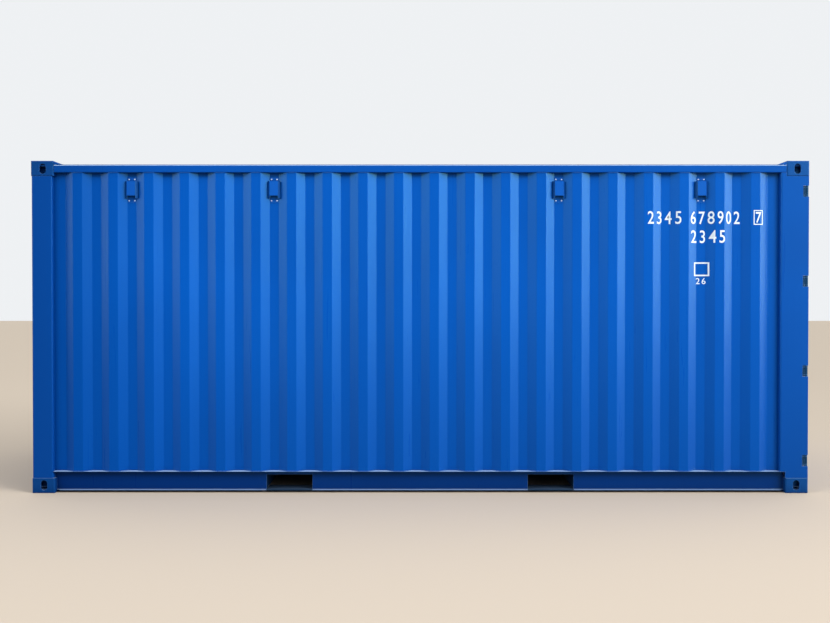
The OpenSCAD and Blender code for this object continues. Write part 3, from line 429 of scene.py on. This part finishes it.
def mesh_piece(name, mesh_maker, material, body=CONTAINER, smooth=False):
    """A new piece whose mesh is filled by mesh_maker(bm)."""
    bm = bmesh.new()
    mesh_maker(bm)
    mesh = bpy.data.meshes.new(name)
    bm.to_mesh(mesh)
    bm.free()
    if smooth:
        mesh.polygons.foreach_set("use_smooth", [True] * len(mesh.polygons))
    finish_piece(name, mesh, material, body)


def line_piece(name, lines, radius, material):
    """Round beads of one radius along several lines of points."""
    curve = bpy.data.curves.new(name, "CURVE")
    curve.dimensions = "3D"
    curve.bevel_depth = radius
    curve.bevel_resolution = 1
    curve.use_fill_caps = True
    for points in lines:
        spline = curve.splines.new("POLY")
        spline.points.add(len(points) - 1)
        for place, point in zip(spline.points, points):
            place.co = (*point, 1)
    finish_piece(name, curve, material)


def add_ring(bm, centre, normal, lift, radius, sides):
    """A ring of vertices across a normal, lifted along it from a centre."""
    normal = Vector(normal)
    u = normal.orthogonal().normalized()
    v = normal.cross(u)
    turns = [2 * math.pi * k / sides for k in range(sides)]
    return [bm.verts.new(Vector(centre) + normal * lift
                         + (u * math.cos(turn) + v * math.sin(turn)) * radius)
            for turn in turns]


def join_rings(bm, rings):
    """Faces between each ring of vertices and the next."""
    for low, high in zip(rings, rings[1:]):
        for k in range(len(low)):
            n = (k + 1) % len(low)
            bm.faces.new((low[k], low[n], high[n], high[k]))


def add_dome(bm, centre, normal, radius, rise, sides=12, steps=3):
    """A low round head on a face, without its underside."""
    angles = [math.pi / 2 * step / steps for step in range(steps)]
    rings = [add_ring(bm, centre, normal, rise * math.sin(angle), radius * math.cos(angle), sides)
             for angle in angles]
    join_rings(bm, rings)
    top = bm.verts.new(Vector(centre) + Vector(normal) * rise)
    last = rings[-1]
    for k in range(sides):
        bm.faces.new((last[k], last[(k + 1) % sides], top))


def add_hex(bm, centre, normal, radius, rise):
    """A hexagon bolt head standing on a face, slightly chamfered."""
    rings = [add_ring(bm, centre, normal, rise * height, radius * width, 6)
             for height, width in ((0, 1), (0.8, 1), (1, 0.86))]
    join_rings(bm, rings)
    bm.faces.new(rings[-1])


# Walls

BEAD_R = 2.2 * MM
BEAD_INSET = 1 * MM
BEAD_STAND_OFF = 0.6 * MM


def wall_depth(x):
    """How far the side wall's outer face lies behind its crests at x."""
    steps = (x - WALL_MIDDLE) / PITCH
    from_recess = abs(steps - round(steps)) * PITCH
    return DEPTH * min(max((RECESS_HALF + SLOPE - from_recess) / SLOPE, 0), 1)


def wall_bends(x0, x1):
    """Where the side wall bends between x0 and x1."""
    count = round((WALL_HIGH.x - WALL_LOW.x) / PITCH)
    found = []
    for n in range(-count, count + 1):
        for side in (-1, 1):
            for offset in (RECESS_HALF, RECESS_HALF + SLOPE):
                found.append(WALL_MIDDLE + n * PITCH + side * offset)
    return sorted(x for x in found if x0 < x < x1)


def wall_line(z, side, stand_off):
    """Points along the outer face of a side wall."""
    xs = [WALL_LOW.x] + wall_bends(WALL_LOW.x, WALL_HIGH.x) + [WALL_HIGH.x]
    return [(x, side * (-WALL_LOW.y - wall_depth(x) + stand_off), z) for x in xs]


def front_line(z, low, high, stand_off):
    """Points along the outer face of the front wall, whose box is from low to high."""
    count = int((high.y - low.y - FRONT_RECESS) / FRONT_PITCH)
    points = [(low.x + FRONT_DEPTH - stand_off, low.y, z)]
    for i in range(count):
        centre = (i - (count - 1) / 2) * FRONT_PITCH
        for offset, depth in ((-FRONT_CREST / 2 - FRONT_SLOPE, FRONT_DEPTH),
                              (-FRONT_CREST / 2, 0), (FRONT_CREST / 2, 0),
                              (FRONT_CREST / 2 + FRONT_SLOPE, FRONT_DEPTH)):
            points.append((low.x + depth - stand_off, centre + offset, z))
    points.append((low.x + FRONT_DEPTH - stand_off, high.y, z))
    return points


def build_weld_beads():
    """Fillets where the walls meet the rails above and below."""
    for name, side in SIDES:
        heights = (WALL_LOW.z + BEAD_INSET, WALL_HIGH.z - BEAD_INSET)
        lines = [wall_line(z, side, BEAD_STAND_OFF) for z in heights]
        line_piece("weld_bead_" + name, lines, BEAD_R, PAINT)
    low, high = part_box("front_wall")
    heights = (low.z + BEAD_INSET, high.z - BEAD_INSET)
    lines = [front_line(z, low, high, BEAD_STAND_OFF) for z in heights]
    line_piece("weld_bead_front", lines, BEAD_R, PAINT)


# Rise of the roof in the middle of its width, and the flat margin at its sides
CAMBER = 4 * MM
MARGIN = 75 * MM
# Radius of the beads at the roof's ends, half their length, their height over the roof's
# lower face at its margin, and the share of the camber that they follow
ROOF_BEAD_R = 2.4 * MM
ROOF_BEAD_HALF = 1.05
ROOF_BEAD_LIFT = 3.2 * MM
ROOF_BEAD_CAMBER = 0.3
ROOF_BEAD_STEPS = 12


def build_roof_beads():
    """Fillets where the cambered ends of the roof meet the plates over the headers."""
    low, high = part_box("roof")
    edge = CAD_BOUNDS[1][1] - MARGIN
    ys = [ROOF_BEAD_HALF * k / ROOF_BEAD_STEPS
          for k in range(-ROOF_BEAD_STEPS, ROOF_BEAD_STEPS + 1)]
    arch = [(y, ROOF_BEAD_CAMBER * CAMBER * (1 - (y / edge) ** 2)) for y in ys]
    lines = [[(x, y, low.z + ROOF_BEAD_LIFT + rise) for y, rise in arch]
             for x in (low.x - BEAD_STAND_OFF, high.x + BEAD_STAND_OFF)]
    line_piece("weld_bead_roof", lines, ROOF_BEAD_R, ROOF_PAINT)


# Ventilators, at whole steps of the corrugation from the middle of the wall

VENT_STEPS = (-8, -4, 4, 8)
VENT_PLATE = 3 * MM
RIVET_R = 6 * MM
RIVET_RISE = 3 * MM
RIVET_SPREAD = 22 * MM
RIVET_INSET = 16 * MM


def build_rivets():
    """Two rivets on the upper tab of each ventilator and two on its lower tab."""
    for name, side in SIDES:
        low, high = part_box("vents_" + name)
        face = side * (-WALL_LOW.y - DEPTH + VENT_PLATE)

        def fill(bm):
            for n in VENT_STEPS:
                x = WALL_MIDDLE + n * PITCH
                for z in (high.z - RIVET_INSET, low.z + RIVET_INSET):
                    for k in (-1, 1):
                        add_dome(bm, (x + k * RIVET_SPREAD, face, z), (0, side, 0), RIVET_R,
                                 RIVET_RISE)

        mesh_piece("vent_rivets_" + name, fill, RIVET, smooth=True)


# Markings

MARK_LIFT = 0.8 * MM
# Digits, line height, left end, lower edge and width of each row, on the left side
ROWS = (
    ("2345", 100 * MM, 1.772, 2.101, 0.262),
    ("678902", 100 * MM, 2.11, 2.101, 0.39),
    ("2345", 100 * MM, 2.113, 1.953, 0.262),
    ("26", 48 * MM, 2.158, 1.632, 0.076),
    ("7", 84 * MM, 2.613, 2.109, 0.044),
)
# Left, lower, right and upper edge of each box and the width of its line
BOXES = (
    (2.597, 2.094, 2.671, 2.208, 7 * MM),
    (2.141, 1.695, 2.259, 1.803, 11 * MM),
)
DIGIT_SPACING = 1.32
DIGIT_WEIGHT = 0.007


def fold_to_wall(bm, side):
    """Lays a flat X-Z mesh on the corrugated side wall."""
    xs = [v.co.x for v in bm.verts]
    for x in wall_bends(min(xs), max(xs)):
        bmesh.ops.bisect_plane(bm, geom=bm.verts[:] + bm.edges[:] + bm.faces[:],
                               plane_co=(x, 0, 0), plane_no=(1, 0, 0))
    for v in bm.verts:
        v.co.y = side * (-WALL_LOW.y - wall_depth(v.co.x) + MARK_LIFT)


def add_digits(bm, digits, height, x, z, width):
    """Flat filled digits, fitted to a width and height, in the X-Z plane."""
    curve = bpy.data.curves.new("digits", "FONT")
    curve.body = digits
    curve.resolution_u = 4
    curve.space_character = DIGIT_SPACING
    curve.offset = DIGIT_WEIGHT
    obj = bpy.data.objects.new("digits", curve)
    bpy.context.scene.collection.objects.link(obj)
    bpy.context.view_layer.update()
    mesh = bpy.data.meshes.new_from_object(obj)
    bpy.data.objects.remove(obj)
    xs = [v.co.x for v in mesh.vertices]
    ys = [v.co.y for v in mesh.vertices]
    x_scale = width / (max(xs) - min(xs))
    z_scale = height / (max(ys) - min(ys))
    for v in mesh.vertices:
        v.co = (x + (v.co.x - min(xs)) * x_scale, 0, z + (v.co.y - min(ys)) * z_scale)
    bm.from_mesh(mesh)
    bpy.data.meshes.remove(mesh)


def add_box(bm, x0, z0, x1, z1, line):
    """A rectangular frame in the X-Z plane."""
    corners = ((x0, z0), (x1, z0), (x1, z1), (x0, z1))
    inward = ((1, 1), (-1, 1), (-1, -1), (1, -1))
    outer = [bm.verts.new((x, 0, z)) for x, z in corners]
    inner = [bm.verts.new((x + sx * line, 0, z + sz * line))
             for (x, z), (sx, sz) in zip(corners, inward)]
    join_rings(bm, (outer, inner))


def build_markings():
    """Plain digits and boxes where the photographed wall has its lettering."""
    def fill(bm):
        for row in ROWS:
            add_digits(bm, *row)
        for box in BOXES:
            add_box(bm, *box)
        fold_to_wall(bm, LEFT)

    mesh_piece("side_markings", fill, MARKING)


# Floor and locking gear

SCREW_R = 5 * MM
SCREW_RISE = 0.4 * MM
SCREW_ROWS = 19
SCREWS_A_ROW = 16
# From the outer cross members' faces to the first and last row, and from the floor's sides
ROW_INSET = 0.02
SCREW_INSET = 0.05


def build_floor_screws():
    """Rows of sunk screw heads along the cross members."""
    low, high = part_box("floor_boards")
    first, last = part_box("cross_members")
    length = last.x - first.x - 2 * ROW_INSET
    width = high.y - low.y - 2 * SCREW_INSET

    def fill(bm):
        for row in range(SCREW_ROWS):
            x = first.x + ROW_INSET + length * row / (SCREW_ROWS - 1)
            for k in range(SCREWS_A_ROW):
                y = low.y + SCREW_INSET + width * k / (SCREWS_A_ROW - 1)
                add_dome(bm, (x, y, high.z), (0, 0, 1), SCREW_R, SCREW_RISE, 8, 1)

    mesh_piece("floor_screws", fill, ZINC_STEEL)


BOLT_R = 6.4 * MM
BOLT_RISE = 4 * MM
BOLT_SPREAD = 28 * MM
# From the ends of the brackets' box to the middle of the outer brackets, and from the
# rods' box to their axes
BRACKET_INSET = 22 * MM
ROD_INSET = 30 * MM
# Two more brackets sit this far above and below the middle, on the pressed panel
MIDDLE_OFFSET = 0.5
BRACKET_FOOT = 4 * MM
PANEL_SETBACK = 3 * MM


def build_bracket_bolts():
    """Bolt heads on the feet of the rod brackets."""
    for name, side in SIDES:
        rods = [abs(corner.y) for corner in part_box("lock_rods_" + name)]
        low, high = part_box("rod_brackets_" + name)
        frame_low, frame_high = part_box("door_frame_" + name)
        middle = (frame_low.z + frame_high.z) / 2
        on_frame = frame_high.x + BRACKET_FOOT
        on_panel = on_frame - PANEL_SETBACK
        places = ((low.z + BRACKET_INSET, on_frame), (high.z - BRACKET_INSET, on_frame),
                  (middle - MIDDLE_OFFSET, on_panel), (middle + MIDDLE_OFFSET, on_panel))

        def fill(bm):
            for y in (min(rods) + ROD_INSET, max(rods) - ROD_INSET):
                for z, x in places:
                    for k in (-1, 1):
                        add_hex(bm, (x, side * y + k * BOLT_SPREAD, z), (1, 0, 0), BOLT_R,
                                BOLT_RISE)

        mesh_piece("bracket_bolts_" + name, fill, ZINC_STEEL, "door_" + name)


# Stage

PHOTO_WIDTH_PX = 830
FOCAL_PX = 960
SENSOR = 36
CAMERA_PLACE = (-0.04, -8.695, 1.51)
CAMERA_PITCH = 0.7
CAMERA_RANGE = 200
FLOOR_HALF = 60
FLOOR_ROUGHNESS = 0.9

LAMP_SIZE = (6.0, 4.0)
LAMP_SPREAD = 75
LAMP_AIM = Vector((0, -1.2, 1.3))
# Name, place, power and colour
LAMPS = (("key", (9.8, -9.0, 9.0), 200, (1, 0.99, 0.97)),
         ("fill", (-9.8, -9.0, 9.0), 85, (0.95, 0.97, 1)))

SKY = (0.93, 0.96, 1, 1)
BACKDROP = (0.86, 0.88, 0.9, 1)
SKY_HORIZON = 0.12
SKY_ZENITH = 1.15
# Along Y: where the sky starts to brighten behind the object and where it has in full
SKY_BEHIND_AT = (0, 0.4)
SKY_BEHIND = 0.5
# Along Y: where the bright sides start and are full, before the object
SKY_SIDES_AT = (0.1, -0.3)
# Side, direction along X where the bright side starts and is full, and its strength
SKY_SIDES = ((1, 0.36, 0.82, 3.2), (-1, 0.5, 0.9, 2.2))
SKY_LEAN = 0.25
# How much stronger the bright sides are in the gloss than as light
GLEAM = 3.4


def build_camera():
    camera = bpy.data.cameras.new("camera")
    camera.sensor_fit = "HORIZONTAL"
    camera.sensor_width = SENSOR
    camera.lens = SENSOR * FOCAL_PX / PHOTO_WIDTH_PX
    camera.clip_end = CAMERA_RANGE
    obj = bpy.data.objects.new("camera", camera)
    obj.location = CAMERA_PLACE
    obj.rotation_euler = (math.radians(90 - CAMERA_PITCH), 0, 0)
    bpy.context.scene.collection.objects.link(obj)
    bpy.context.scene.camera = obj


def build_lamps():
    """A large soft lamp on the door side and a weaker one on the front side."""
    for name, place, power, colour in LAMPS:
        lamp = bpy.data.lights.new(name, "AREA")
        lamp.shape = "RECTANGLE"
        lamp.size, lamp.size_y = LAMP_SIZE
        lamp.spread = math.radians(LAMP_SPREAD)
        lamp.energy = power
        lamp.color = colour
        obj = bpy.data.objects.new(name, lamp)
        obj.location = place
        obj.rotation_euler = (Vector(place) - LAMP_AIM).to_track_quat("Z", "Y").to_euler()
        bpy.context.scene.collection.objects.link(obj)


def build_world():
    """A soft sky, brighter overhead and before both ends, and a pale backdrop to the eye.

    Gloss and glass show the backdrop too, and gloss shows the bright sides on it.
    """
    world = bpy.data.worlds.new("studio")
    world.use_nodes = True
    world.node_tree.nodes.clear()
    g = Nodes(world.node_tree)
    way = g.node("ShaderNodeTexCoord").outputs["Generated"]
    way = g.node("ShaderNodeSeparateXYZ", Vector=way).outputs
    overhead = g.math("ADD", g.ramp(way["Z"], 0, 1, SKY_HORIZON, SKY_ZENITH),
                      g.ramp(way["Y"], *SKY_BEHIND_AT, 0, SKY_BEHIND))
    before = g.ramp(way["Y"], *SKY_SIDES_AT)
    sides = 0
    for side, start, full, strength in SKY_SIDES:
        bright = g.ramp(way["X"], side * start, side * full, 0, strength)
        sides = g.math("ADD", g.math("MULTIPLY", before, bright), sides)
    lean = g.ramp(way["X"], -1, 1, 1 - SKY_LEAN, 1 + SKY_LEAN)
    light = g.math("MULTIPLY", g.math("ADD", overhead, sides), lean)
    glossy = g.node("ShaderNodeLightPath").outputs["Is Glossy Ray"]
    gleam = g.math("MULTIPLY", g.math("MULTIPLY", sides, lean), glossy)
    gleam = g.math("ADD", g.math("MULTIPLY", gleam, GLEAM), 1)
    lit = g.node("ShaderNodeBackground", Color=SKY, Strength=light)
    seen = g.node("ShaderNodeBackground", Color=BACKDROP, Strength=gleam)
    mixer = g.node("ShaderNodeMixShader")
    for index, value in enumerate((g.shown(), lit.outputs[0], seen.outputs[0])):
        g.put(value, mixer.inputs[index])
    g.node("ShaderNodeOutputWorld", Surface=mixer.outputs[0])
    bpy.context.scene.world = world


def floor_finish(name):
    """Pale where the camera, gloss or glass shows it, duller as a source of bounced light."""
    g = Graph(name)
    return g.finish(Base_Color=g.mix(g.shown(), FLOOR_BOUNCE, FLOOR),
                    Roughness=FLOOR_ROUGHNESS, Specular_IOR_Level=0.0)


def build_floor():
    mesh = bpy.data.meshes.new("studio_floor")
    corners = [(x * FLOOR_HALF, y * FLOOR_HALF, 0) for x, y in ((-1, -1), (1, -1), (1, 1), (-1, 1))]
    mesh.from_pydata(corners, [], [(0, 1, 2, 3)])
    obj = bpy.data.objects.new("studio_floor", mesh)
    obj.data.materials.append(floor_finish("studio_floor"))
    bpy.context.scene.collection.objects.link(obj)


dress_nodes()
build_weld_beads()
build_roof_beads()
build_rivets()
build_markings()
build_floor_screws()
build_bracket_bolts()
build_camera()
build_lamps()
build_world()
build_floor()
bpy.context.scene.view_settings.view_transform = "Standard"
